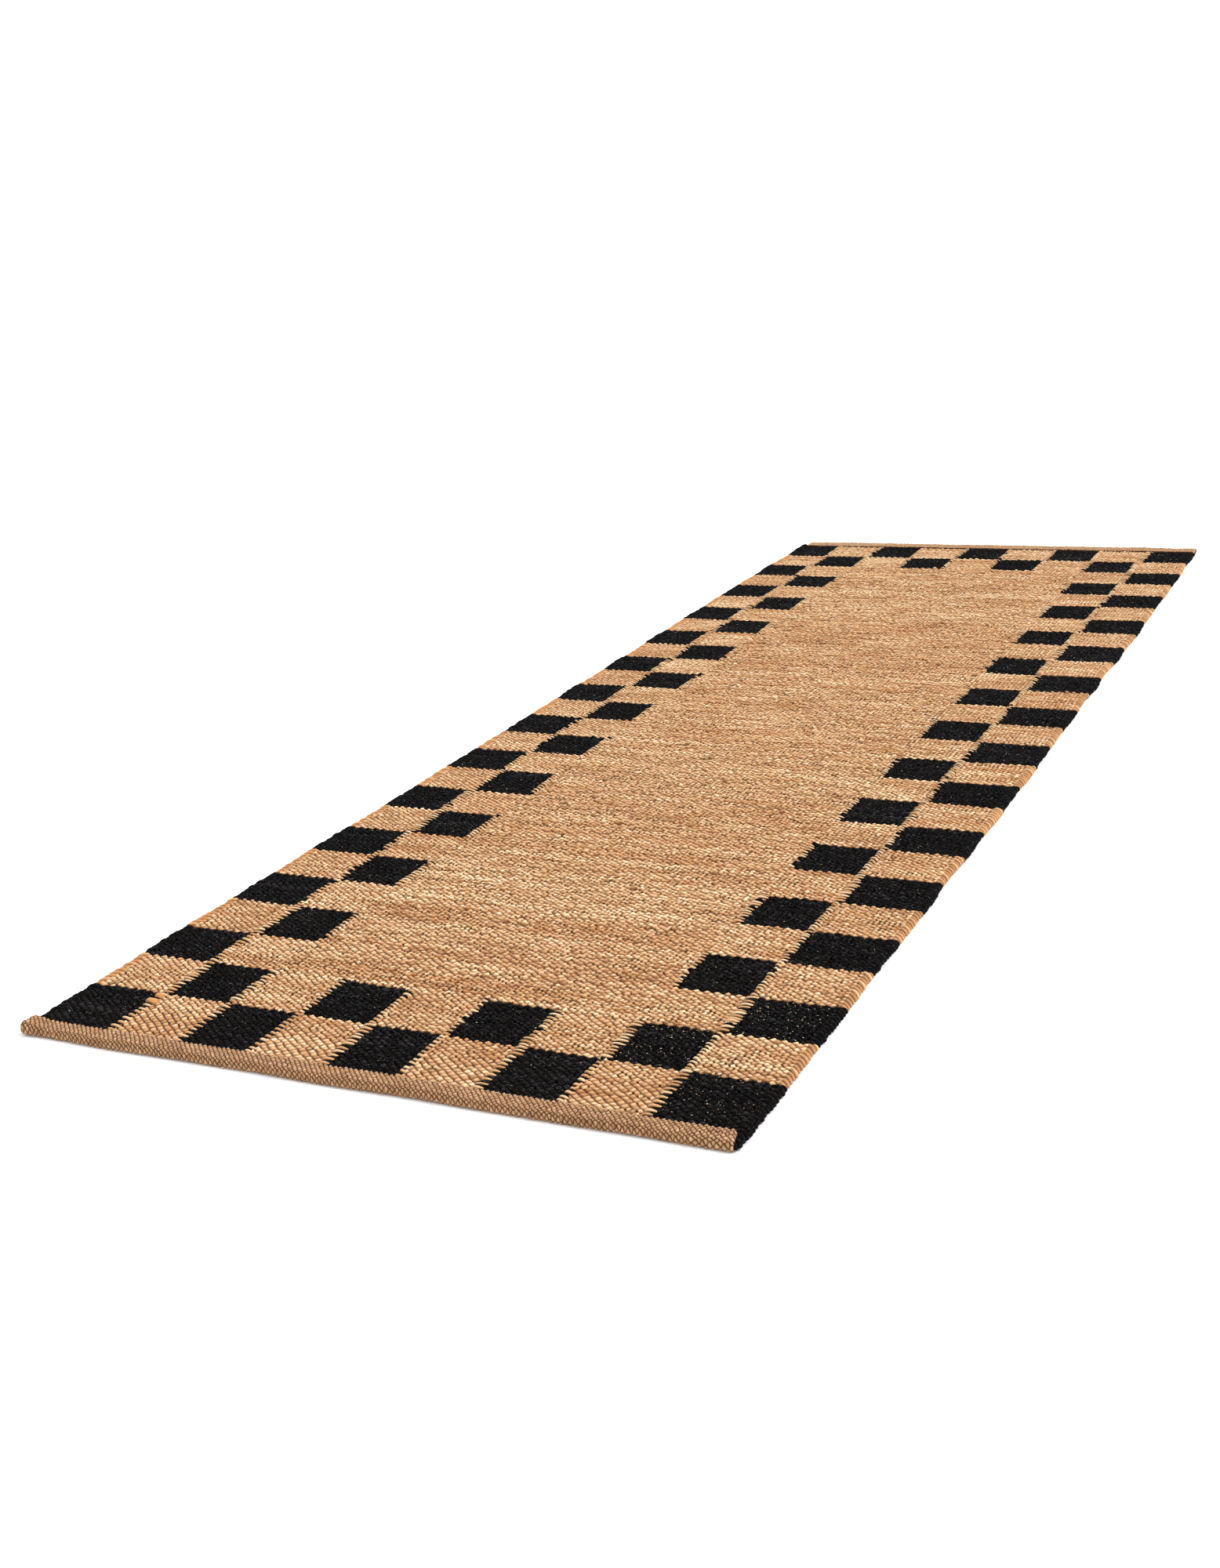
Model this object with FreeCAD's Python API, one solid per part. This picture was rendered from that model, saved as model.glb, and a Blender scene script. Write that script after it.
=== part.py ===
import FreeCAD, Part
import math
import os

# Flat-woven jute runner rug, lying flat. Millimetres, +X to the right, +Y along the rug, +Z up.
# The origin is on the floor under the middle of the rug; the "near" end is at -Y.
#
# The rug is a weft-faced plain weave. Warp cords run its whole length, hidden inside. The weft packs
# tightly over them in nine columns and twenty-seven rows of checks. At each side the weft turns round
# a thick edge cord. At each end the weave goes on in fine twine, is folded under and sewn down.

WIDTH = 700.0
LENGTH = 2000.0
COLUMNS = 9
ROWS = 27

SELVEDGE_W = 12.0  # edge cord with its wrapping, seen from above
SELVEDGE_H = 9.0
SELVEDGE_ROUND = 4.0
SELVEDGE_CORE_R = 2.0
SELVEDGE_TAIL = 14.0  # how far a selvedge runs on beside the end of a hem

WEAVE_H = 8.0
WARPS_PER_COLUMN = 15
WARP_R = 1.2
CLEARANCE = 0.15  # between a cord and its channel

HEM_L = 26.0
HEM_H = 9.0
HEM_FOLD_GAP = 0.4
HEM_SIDE_INSET = 1.0  # the hem stops this much inside the selvedge that it covers
THREAD = 0.6
THREAD_PITCH_WARPS = 2  # warps between two stitches

COLUMN_W = (WIDTH - 2 * SELVEDGE_W) / COLUMNS
ROW_L = (LENGTH - 2 * HEM_L) / ROWS
WARP_PITCH = COLUMN_W / WARPS_PER_COLUMN
WEAVE_X0 = -WIDTH / 2 + SELVEDGE_W
WEAVE_Y0 = -LENGTH / 2 + HEM_L
WARP_Z = WEAVE_H / 2
CORE_X = WIDTH / 2 - SELVEDGE_W / 2
CORE_Z = SELVEDGE_H / 2

# The hem's cross-section: two thin layers with a round nose. The warp cords rise from the middle of
# the weave into the upper layer, turn round inside the nose and end in the lower layer.
LAYER_H = (HEM_H - HEM_FOLD_GAP) / 2
UPPER_Z = HEM_H - LAYER_H / 2
LOWER_Z = LAYER_H / 2
NOSE_Y = -LENGTH / 2 + HEM_H / 2
RISE_END_Y = WEAVE_Y0 - 11.0
RISE_START_Y = WEAVE_Y0 - 1.0
FOLD_GAP_Y = RISE_END_Y - 1.0
WARP_END_Y = RISE_END_Y + 3.0
STITCH_Y = RISE_END_Y - 4.0
CORE_END_Y = RISE_END_Y + 1.0
THREAD_LOW = 0.25
THREAD_HIGH = HEM_H - THREAD_LOW - THREAD

RING = 2  # the checkerboard border is two checks wide


def vec(x, y, z):
    return FreeCAD.Vector(x, y, z)


def col_x(column):
    """Left edge of a column, counting from 0."""
    return WEAVE_X0 + column * COLUMN_W


def row_y(row):
    """Near edge of a row, counting from 0."""
    return WEAVE_Y0 + row * ROW_L


def in_ring(column, row):
    across = min(column, COLUMNS - 1 - column)
    along = min(row, ROWS - 1 - row)
    return min(across, along) < RING


def is_black(column, row):
    return in_ring(column, row) and (column + row) % 2 == 0


def warp_xs(first_column, end_column):
    """Where the warp cords lie, from one column up to another."""
    count = (end_column - first_column) * WARPS_PER_COLUMN
    return [col_x(first_column) + (i + 0.5) * WARP_PITCH for i in range(count)]


def far_end(shape):
    """The same shape at the other end of the rug, turned half a turn about the middle."""
    turned = shape.copy()
    turned.rotate(vec(0, 0, 0), vec(0, 0, 1), 180)
    return turned


def bar(outline, holes, length):
    """A bar along +Y from a wire in an XZ plane, with open channels."""
    face = Part.makeFace([outline] + holes, "Part::FaceMakerBullseye")
    return face.extrude(vec(0, length, 0))


def channel(x, y, z, radius):
    """The outline of a round channel along +Y, for a cord of this radius."""
    return Part.Wire(Part.makeCircle(radius + CLEARANCE, vec(x, y, z), vec(0, 1, 0)))


def woven_block(first_column, end_column, first_row, end_row):
    """The weft packed into a rectangle of the grid, with a channel for each warp cord."""
    x0, x1, y = col_x(first_column), col_x(end_column), row_y(first_row)
    corners = [(x0, 0), (x1, 0), (x1, WEAVE_H), (x0, WEAVE_H), (x0, 0)]
    outline = Part.makePolygon([vec(x, y, z) for x, z in corners])
    channels = [channel(x, y, WARP_Z, WARP_R) for x in warp_xs(first_column, end_column)]
    return bar(outline, channels, row_y(end_row) - y)


def checks(columns, rows, black):
    """Every check of one colour in these columns and rows, each one a solid of its own."""
    places = [(c, r) for c in columns for r in rows if is_black(c, r) == black]
    return [woven_block(c, c + 1, r, r + 1) for c, r in places]


def arc_through(start, middle, end):
    return Part.Arc(vec(0, *start), vec(0, *middle), vec(0, *end)).toShape()


def hem_turn_edges():
    """A warp cord's line inside the near hem, in the plane X = 0, from its end to the weave."""
    rise = UPPER_Z - WARP_Z
    run = RISE_START_Y - RISE_END_Y
    bend = 2 * math.atan2(rise, run)
    bend_r = run / (2 * math.sin(bend))
    half = (math.sin(bend / 2) * bend_r, (1 - math.cos(bend / 2)) * bend_r)
    middle = (RISE_END_Y + run / 2, WARP_Z + rise / 2)
    turn_r = (UPPER_Z - LOWER_Z) / 2
    nose = (NOSE_Y - turn_r, (UPPER_Z + LOWER_Z) / 2)
    return [
        Part.makeLine(vec(0, WARP_END_Y, LOWER_Z), vec(0, NOSE_Y, LOWER_Z)),
        arc_through((NOSE_Y, LOWER_Z), nose, (NOSE_Y, UPPER_Z)),
        Part.makeLine(vec(0, NOSE_Y, UPPER_Z), vec(0, RISE_END_Y, UPPER_Z)),
        arc_through((RISE_END_Y, UPPER_Z), (RISE_END_Y + half[0], UPPER_Z - half[1]), middle),
        arc_through(middle, (RISE_START_Y - half[0], WARP_Z + half[1]), (RISE_START_Y, WARP_Z)),
    ]


def swept(edges, section):
    """A bar of this section along smooth edges in the plane X = 0, where the first one runs along Y."""
    return Part.Wire(edges).makePipeShell([section], True, False)


def warp_cord():
    """One whole warp cord at X = 0, turned back inside both hems."""
    near = hem_turn_edges()
    straight = Part.makeLine(vec(0, RISE_START_Y, WARP_Z), vec(0, -RISE_START_Y, WARP_Z))
    far = [far_end(edge) for edge in reversed(near)]
    section = Part.Wire(Part.makeCircle(WARP_R, vec(0, WARP_END_Y, LOWER_Z), vec(0, 1, 0)))
    return swept(near + [straight] + far, section)


def warp_channel():
    """What one warp cord takes out of the near hem at X = 0: a square channel that it just fits."""
    lead = Part.makeLine(vec(0, RISE_START_Y, WARP_Z), vec(0, WEAVE_Y0 + 1, WARP_Z))
    half = WARP_R + CLEARANCE
    corners = [(-half, -half), (half, -half), (half, half), (-half, half), (-half, -half)]
    section = Part.makePolygon([vec(x, WARP_END_Y, LOWER_Z + dz) for x, dz in corners])
    return swept(hem_turn_edges() + [lead], section)


def moved(shape, x):
    copy = shape.copy()
    copy.translate(vec(x, 0, 0))
    return copy


def hem_thread():
    """The sewing thread of the near hem, up and down between the warps in one square wave."""
    stitch_xs = [x + WARP_PITCH / 2 for x in warp_xs(0, COLUMNS)[:-1:THREAD_PITCH_WARPS]]
    y = STITCH_Y - THREAD / 2
    runs = []
    for i, x in enumerate(stitch_xs):
        rise = THREAD_HIGH + THREAD - THREAD_LOW
        runs.append(Part.makeBox(THREAD, THREAD, rise, vec(x - THREAD / 2, y, THREAD_LOW)))
        if i + 1 < len(stitch_xs):
            z = THREAD_LOW if i % 2 else THREAD_HIGH
            step = stitch_xs[i + 1] - x
            runs.append(Part.makeBox(step, THREAD, THREAD, vec(x, y, z)))
    return runs[0].fuse(runs[1:]).removeSplitter()


def hem_band(thread):
    """The near hem: twine weave folded under, over the turned warps, the left edge cord and the thread."""
    x0 = -WIDTH / 2 + HEM_SIDE_INSET
    x1 = col_x(COLUMNS)
    nose = arc_through((NOSE_Y, HEM_H), (NOSE_Y - HEM_H / 2, HEM_H / 2), (NOSE_Y, 0))
    top = Part.makeLine(vec(0, WEAVE_Y0, HEM_H), vec(0, NOSE_Y, HEM_H))
    bottom = Part.makeLine(vec(0, NOSE_Y, 0), vec(0, WEAVE_Y0, 0))
    root = Part.makeLine(vec(0, WEAVE_Y0, 0), vec(0, WEAVE_Y0, HEM_H))
    outline = Part.Wire([top, nose, bottom, root])
    gap_low, gap_high = LAYER_H, LAYER_H + HEM_FOLD_GAP
    corners = [(NOSE_Y, gap_low), (FOLD_GAP_Y, gap_low), (FOLD_GAP_Y, gap_high), (NOSE_Y, gap_high)]
    gap = Part.makePolygon([vec(0, y, z) for y, z in corners + corners[:1]])
    face = Part.makeFace([outline, gap], "Part::FaceMakerBullseye")
    band = face.extrude(vec(x1 - x0, 0, 0))
    band.translate(vec(x0, 0, 0))
    core_run = WEAVE_Y0 - CORE_END_Y
    core = Part.Face(channel(-CORE_X, CORE_END_Y, CORE_Z, SELVEDGE_CORE_R))
    core = core.extrude(vec(0, core_run, 0))
    warp = warp_channel()
    return band.cut([moved(warp, x) for x in warp_xs(0, COLUMNS)] + [core, thread])


def selvedge_core():
    """The left edge cord: it ends inside the near hem, and beside the far one."""
    length = -WEAVE_Y0 + SELVEDGE_TAIL - CORE_END_Y
    return Part.makeCylinder(SELVEDGE_CORE_R, length, vec(-CORE_X, CORE_END_Y, CORE_Z), vec(0, 1, 0))


def selvedge_wrap(row):
    """The left selvedge's weft turns over one row: flat against the weave, rounded outside."""
    y, length = row_y(row), ROW_L
    if row == ROWS - 1:
        length += SELVEDGE_TAIL
    inner, outer, bend = -WIDTH / 2 + SELVEDGE_W, -WIDTH / 2, SELVEDGE_ROUND
    slack = bend * (1 - math.sqrt(0.5))

    def point(x, z):
        return vec(x, y, z)

    low = Part.Arc(point(outer + bend, 0), point(outer + slack, slack), point(outer, bend)).toShape()
    high = Part.Arc(
        point(outer, SELVEDGE_H - bend),
        point(outer + slack, SELVEDGE_H - slack),
        point(outer + bend, SELVEDGE_H),
    ).toShape()
    outline = Part.Wire([
        Part.makeLine(point(inner, 0), point(outer + bend, 0)),
        low,
        Part.makeLine(point(outer, bend), point(outer, SELVEDGE_H - bend)),
        high,
        Part.makeLine(point(outer + bend, SELVEDGE_H), point(inner, SELVEDGE_H)),
        Part.makeLine(point(inner, SELVEDGE_H), point(inner, 0)),
    ])
    return bar(outline, [channel(-CORE_X, y, CORE_Z, SELVEDGE_CORE_R)], length)


def write(node, solids):
    Part.makeCompound(solids).exportStep("parts/" + node + ".step")


def write_checks():
    """The checks, grouped by where they lie in the border, and the plain field inside it."""
    every_row = range(ROWS)
    field_rows = range(RING, ROWS - RING)
    field_columns = range(RING, COLUMNS - RING)
    last_column, last_row = COLUMNS - 1, ROWS - 1
    for side, outer, inner in (("left", 0, 1), ("right", last_column, last_column - 1)):
        write("black_checks_" + side + "_edge", checks([outer], every_row, True))
        write("black_checks_" + side + "_inner", checks([inner], every_row, True))
        write("natural_checks_" + side + "_edge", checks([outer], every_row, False))
        write("natural_checks_" + side + "_inner", checks([inner], field_rows, False))
    for end, outer, inner in (("near", 0, 1), ("far", last_row, last_row - 1)):
        write("black_checks_" + end + "_edge", checks(field_columns, [outer], True))
        write("black_checks_" + end + "_inner", checks(field_columns, [inner], True))
        write("natural_checks_" + end + "_edge", checks(range(1, last_column), [outer], False))
        write("natural_checks_" + end + "_inner", checks(field_columns, [inner], False))
    write("plain_field", [woven_block(RING, COLUMNS - RING, RING, ROWS - RING)])


def write_selvedges():
    """Both edge cords and their wrapping. The right side is the left one turned half a turn."""
    core = selvedge_core()
    write("left_selvedge_core", [core])
    write("right_selvedge_core", [far_end(core)])
    wraps = [selvedge_wrap(row) for row in range(ROWS)]
    for colour, first in (("black", 0), ("natural", 1)):
        write("left_selvedge_wrap_" + colour, wraps[first::2])
        write("right_selvedge_wrap_" + colour, [far_end(wrap) for wrap in wraps[first::2]])


def write_hems():
    thread = hem_thread()
    band = hem_band(thread)
    write("near_hem_band", [band])
    write("near_hem_thread", [thread])
    write("far_hem_band", [far_end(band)])
    write("far_hem_thread", [far_end(thread)])


os.makedirs("parts", exist_ok=True)
cord = warp_cord()
write("warp_cords", [moved(cord, x) for x in warp_xs(0, COLUMNS)])
write_checks()
write_selvedges()
write_hems()
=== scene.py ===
import math

import bpy
import numpy as np
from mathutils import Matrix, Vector


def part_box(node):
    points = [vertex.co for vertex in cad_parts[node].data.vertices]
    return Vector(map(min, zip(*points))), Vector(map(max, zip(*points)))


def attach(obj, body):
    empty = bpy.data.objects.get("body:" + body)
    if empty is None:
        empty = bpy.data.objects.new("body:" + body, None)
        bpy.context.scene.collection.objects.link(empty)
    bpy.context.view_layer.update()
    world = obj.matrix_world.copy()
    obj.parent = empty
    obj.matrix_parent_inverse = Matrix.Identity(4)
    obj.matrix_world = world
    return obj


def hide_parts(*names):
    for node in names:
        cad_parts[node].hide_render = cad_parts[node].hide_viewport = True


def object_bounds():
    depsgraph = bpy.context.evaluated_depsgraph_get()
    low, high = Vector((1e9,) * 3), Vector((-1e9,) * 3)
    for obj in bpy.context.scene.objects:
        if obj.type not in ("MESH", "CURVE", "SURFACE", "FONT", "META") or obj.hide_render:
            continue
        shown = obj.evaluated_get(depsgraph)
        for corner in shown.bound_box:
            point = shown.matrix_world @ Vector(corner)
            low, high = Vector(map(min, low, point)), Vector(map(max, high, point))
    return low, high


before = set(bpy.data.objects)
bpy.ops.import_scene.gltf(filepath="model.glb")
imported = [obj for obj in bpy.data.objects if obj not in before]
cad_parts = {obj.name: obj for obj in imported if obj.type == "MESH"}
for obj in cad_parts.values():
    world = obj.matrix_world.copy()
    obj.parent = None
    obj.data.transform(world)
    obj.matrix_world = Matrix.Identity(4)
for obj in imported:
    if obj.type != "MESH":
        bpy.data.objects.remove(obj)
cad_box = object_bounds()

# A hand-woven jute runner, in metres. The weave is weft-faced: thick spun weft yarns pass over one warp
# cord and under the next, packed so tightly that only their short floats show, like grains of rice in
# brick courses. Every float is modelled, on both faces. Colours change only where the weft does, with
# the two yarns turning by turns round the warps they share.

MM = 0.001

# What the real cloth is counted in. A column and a row are one check.
COLUMNS = 9
ROWS = 27
RING = 2  # how many checks wide the border is
WARPS_PER_COLUMN = 15
PICKS_PER_ROW = 24
WARPS = COLUMNS * WARPS_PER_COLUMN
PICKS = ROWS * PICKS_PER_ROW
EXTRA = 2  # more warp places at each side, under the selvedge

rng = np.random.default_rng(27)


def node_box(name):
    low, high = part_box(name)
    return np.array(low), np.array(high)


WEAVE_LOW = node_box("black_checks_left_edge")[0]
WEAVE_HIGH = node_box("black_checks_right_edge")[1]
RUG_LOW, RUG_HIGH = np.array(cad_box[0]), np.array(cad_box[1])
COLUMN_W = (WEAVE_HIGH[0] - WEAVE_LOW[0]) / COLUMNS
ROW_L = (WEAVE_HIGH[1] - WEAVE_LOW[1]) / ROWS
WARP_PITCH = COLUMN_W / WARPS_PER_COLUMN
WEAVE_H = WEAVE_HIGH[2]
HEM_H = node_box("near_hem_band")[1][2]
SELVEDGE_W = WEAVE_LOW[0] - RUG_LOW[0]

# The floats of the flat weave.
CREASE = 2.2 * MM  # how deep the weft dives between two floats
SWELL = 0.41  # how far a float bulges into the courses beside it, in picks
FLOAT_TURN = 0.05 * MM  # the spun yarn's twist turns each float a little
SLUBS = 0.02  # share of floats with a lump of thicker yarn
FLOOR_GAP = 0.05 * MM  # nothing sinks into the floor
UNDER_Z = 0.9 * MM  # where the floats of the underside lie
UNDER_CREASE = 0.25 * CREASE  # the underside is pressed flatter
WEAVE_WILD = 2.2  # how unevenly the floats lie: 1 is an even beat
FIELD_WILD = 2.1  # how unevenly they swell in the field, where the border has 1
DRIFT_SWELL = 0.45  # how much a yarn thickens and thins along its length
CHANCE_SWELL = 0.45  # and from float to float
SLUB_SWELL = 0.8
THINNEST = -0.45
FIELD_BANDS = 4
FIBRE_L = 3.0 * MM  # a fibre as it shows in the yarn
FIBRE_W = 0.45 * MM  # far coarser than a real one, so that it can be seen

# How the real cloth is out of square.
NEAR_PULL = 8 * MM  # the first row of checks runs on a little way into the near hem
DRAW_IN_LEFT = ((-1.0, -0.65, -0.35, 0.3, 0.6, 1.0), (0, 2, 7, 9, 8, 13))  # where along Y, and mm
DRAW_IN_RIGHT = ((-1.0, -0.65, -0.1, 0.1, 0.5, 1.0), (0, 1, 1, 5, 6, 14))
EDGE_DIP = {-1: 1.2 * MM, 1: 0.4 * MM}  # the weave goes under the wraps of the selvedge

# The hems.
HEM_PICK = 2.3 * MM
HEM_WARP = 2.5 * MM
HEM_CREASE = 1.4 * MM
HEM_WILD = 1.6  # how unevenly its floats lie
HEM_SWELL_WILD = 1.4  # how unevenly they swell
HEM_NOSE_EXTRA = 0.6 * MM  # the fold is fatter than half the hem's height
HEM_PUFF = 0.35 * MM  # the flat of the fold crowns a little
HEM_WAVER_Y = 0.7 * MM  # the nose isn't quite straight along the rug's end
HEM_WAVER_Z = 0.3 * MM
HEM_INSET = 0.1 * MM
HEM_END_ROUND = 2.5 * MM
HEM_SQUARENESS = 0.6
HEM_FLARE = 6 * MM  # the near hem fans out at its right end
HEM_FLARE_L = 30 * MM
END_FAT = 1.5 * MM  # the left end of the near hem is the fattest, where the edge cord ends in it
END_FAT_L = 18 * MM

# The selvedges. -1 is the left one and 1 the right one.
WRAP_PITCH = {-1: 7.2 * MM, 1: 6.0 * MM}
WRAP_STEPS = 5
WRAP_SIDES = 16
WRAP_SLANT = 1.1
WRAP_RELIEF = {-1: 2.7 * MM, 1: 2.2 * MM}
WRAP_CREST = 0.85  # under 1, so that the wraps are round and the grooves between them narrow
WRAP_FATNESS = 0.7 * MM  # how much one wrap is fatter or thinner than the next
WRAP_BULGE = {"black": 0.6 * MM, "natural": 0.1 * MM}  # the black stretches are fatter in the middle
WRAP_INSET = {-1: 0.1 * MM, 1: 0.5 * MM}
WRAP_SIDE_INSET = 0.6 * MM
# The right selvedge's tone is set below the left's as painted shade, since the sun lights the right side.
WRAP_TONE_AND_SHADE = {-1: 0.2, 1: 0.16}
WRAP_WARMTH = {-1: 0.6, 1: 0.25}
WRAP_SPOT = 1.6  # the angle round the cord over which its tone stays the same
WRAP_END_L = 1.6 * MM
SELVEDGE_TAIL = 18 * MM
TAIL_ROUND = 10 * MM

# The cords and thread inside.
WARP_STATIONS = 40
WARP_R = 1.2 * MM
THREAD_R = 0.3 * MM
WARP_TURN = ((4, 5.6), (10, 6.5), (18, 6.6), (21, 6.1), (23, 4.5), (21, 2.9), (18, 2.4), (8, 2.4))
STITCH = 10 * MM
STITCH_LOW = 1.2 * MM
STITCH_HIGH = 4.6 * MM
HIDDEN_LOOKS = (0.5, 1.0, 0.2)
TWISTS_PER_METRE = 900.0  # cord and thread turn about once in each millimetre

# The turns where two colours meet.
TURN_STEPS = 6
TURN_BODY = (0.8, 1.0, 1.0, 0.95, 0.8, 0.4)
TURN_ARCH = (0.0, 0.7, 1.0, 0.9, 0.5, 0.0)
TURN_SIDES = 7
TURN_WIDTH = 3.1 * MM
TURN_RISE = 1.9 * MM
TURN_BEND = 1.5 * MM
TURN_LONG = 11 * MM
TURN_SHORT = 6.8 * MM
TURN_REACH = 0.42  # share of a turn that stands out from the join
TURN_SPLAY = 0.16  # how far its heading leans from the pick's, in radians
TURN_SINK = 0.9 * MM
STRONG_JOINS = 0.3  # share of joins with long turns
STRONG_ROWS = 3  # the first join has them in these rows too
TURNS_SHOWN = 0.9
FAT_TURNS = (8, 10)  # two loops of thick brown yarn at the first corner
FATTER = 2.2

# Light.
WORLD_LIGHT = 1.12
SUN_STRENGTH = 2.5
SUN_AZIMUTH = 20
SUN_HEIGHT = 50
SUN_SPREAD = 25

# The eye, about 2.4 m from the rug's middle, looking down at it from the near right.
LENS = 44.20
SENSOR = 36
EYE = (0.86410, -2.15570, 0.72618)
EYE_TURN = (71.228, 4.673, 25.741)


# ---------------------------------------------------------------- smooth random fields


def ripple(seed, wave_x, wave_y, terms=7):
    """A smooth function of place, about -1 to 1, with waves of these lengths."""
    r = np.random.default_rng(seed)
    fx = r.uniform(0.5, 1.4, terms) / wave_x * r.choice([-1, 1], terms)
    fy = r.uniform(0.5, 1.4, terms) / wave_y
    phase = r.uniform(0, 2 * math.pi, terms)

    def value(x, y):
        total = 0
        for a, b, c in zip(fx, fy, phase):
            total = total + np.sin(2 * math.pi * (a * x + b * y) + c)
        return total / math.sqrt(terms * 0.9)

    return value


def along_yarn(seed, lines, length):
    """A value for each yarn line that wanders along X, about -1 to 1, over this length."""
    r = np.random.default_rng(seed)
    count = int((RUG_HIGH[0] - RUG_LOW[0]) / length) + 4
    table = r.uniform(-1, 1, (lines, count))

    def value(line, x):
        t = (x - RUG_LOW[0]) / length + 1
        cell = np.clip(np.floor(t).astype(int), 0, count - 2)
        part = np.clip(t - cell, 0, 1)
        part = part * part * (3 - 2 * part)
        line = np.clip(line, 0, lines - 1)
        return table[line, cell] * (1 - part) + table[line, cell + 1] * part

    return value


def in_groups(seed, lines, smallest, largest):
    """One value for each line, the same over a few lines: one bobbin of yarn after another."""
    r = np.random.default_rng(seed)
    values = []
    while len(values) < lines:
        values += [r.uniform(-1, 1)] * int(r.integers(smallest, largest + 1))
    return np.array(values[:lines])


# ---------------------------------------------------------------- meshes from arrays


class Shell:
    """Points, triangles and a yarn colour for each point, gathered before they become one mesh."""

    def __init__(self):
        self.points, self.faces, self.yarn, self.count = [], [], [], 0

    def add(self, points, faces, yarn):
        """yarn is a row of tone, relief and warmth for each point; the relief is used as painted shade,
        darker where it is low.
        """
        points = np.array(points, float).reshape(-1, 3)
        points[:, 2] = np.maximum(points[:, 2], FLOOR_GAP)
        self.points.append(points)
        self.faces.append(np.asarray(faces, int).reshape(-1, 3) + self.count)
        self.yarn.append(np.broadcast_to(np.asarray(yarn, float), (len(points), 3)))
        self.count += len(points)

    def piece(self, name, material, slot, replaces=()):
        """The finished piece. It rides on the rug's one body."""
        points = np.concatenate(self.points)
        faces = np.concatenate(self.faces)
        yarn = np.concatenate(self.yarn)
        mesh = bpy.data.meshes.new(name)
        mesh.vertices.add(len(points))
        mesh.vertices.foreach_set("co", points.ravel())
        mesh.loops.add(faces.size)
        mesh.loops.foreach_set("vertex_index", faces.ravel().astype(np.int32))
        mesh.polygons.add(len(faces))
        mesh.polygons.foreach_set("loop_start", np.arange(0, faces.size, 3, dtype=np.int32))
        mesh.update(calc_edges=True)
        colour = mesh.attributes.new("yarn", "FLOAT_COLOR", "POINT")
        rgba = np.ones((len(points), 4))
        rgba[:, :3] = np.clip(yarn, 0, 1)
        colour.data.foreach_set("color", rgba.ravel())
        mesh.shade_smooth()
        mesh.materials.append(material)
        obj = bpy.data.objects.new(name, mesh)
        bpy.context.collection.objects.link(obj)
        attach(obj, "root")
        for part in replaces:
            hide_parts(part)
        return obj


# ---------------------------------------------------------------- where the yarns lie


def pick_lines():
    """The line between each pick and the next, along Y: uneven beating, but rows keep their places."""
    r = np.random.default_rng(5)
    drift = r.uniform(-1, 1, PICKS // 5 + 3)
    swing = np.interp(np.arange(PICKS) / 5, np.arange(len(drift)), drift)
    widths = 1 + 0.18 * swing + 0.12 * r.uniform(-1, 1, PICKS)
    rows = WEAVE_LOW[1] + ROW_L * np.arange(ROWS + 1)
    rows[1:-1] += r.uniform(-0.9, 0.9, ROWS - 1) * MM
    rows[0] -= NEAR_PULL
    lines = [rows[0]]
    for row in range(ROWS):
        part = widths[row * PICKS_PER_ROW:(row + 1) * PICKS_PER_ROW]
        share = np.cumsum(part) / part.sum()
        lines += list(rows[row] + share * (rows[row + 1] - rows[row]))
    return np.array(lines)


LINE_Y = pick_lines()
bow = ripple(11, 0.52, 0.35)
shiver = ripple(12, 0.07, 0.05)
lean = ripple(13, 0.30, 0.22)
swell_z = ripple(14, 0.38, 0.30)
edge_wander = ripple(15, 10.0, 0.16)
thick_thin = along_yarn(21, PICKS + 1, 0.034)


def fade_to_hems(y):
    return np.clip((WEAVE_HIGH[1] - np.abs(y)) / 0.05, 0, 1)


def drawn_in(x, y):
    """How far the tight outer columns are pulled towards the middle, at this place."""
    left = np.interp(y, *DRAW_IN_LEFT)
    right = np.interp(y, *DRAW_IN_RIGHT)
    share = np.clip((np.abs(x) - WEAVE_HIGH[0] + COLUMN_W) / COLUMN_W, 0, 1)
    return -np.sign(x) * np.where(x > 0, right, left) * share * MM


def cloth_x(x, y):
    """Warps wander a little to either side, and the selvedges with them."""
    edge = np.abs(x) / WEAVE_HIGH[0]
    wander = 0.5 * MM * lean(x, y) + 0.8 * MM * edge ** 4 * np.sign(x) * edge_wander(x, y)
    return x + wander + drawn_in(x, y)


def cloth_y(x, y):
    """The picks bow and waver."""
    return y + fade_to_hems(y) * (1.1 * MM * bow(x, y) + 0.35 * MM * shiver(x, y))


def lie(x, y):
    """How far the cloth stands off the floor: hardly at all."""
    return 0.25 * MM * (1 + swell_z(x, y))


def warp_x(i):
    return WEAVE_LOW[0] + (np.asarray(i, float) + 0.5) * WARP_PITCH


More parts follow.
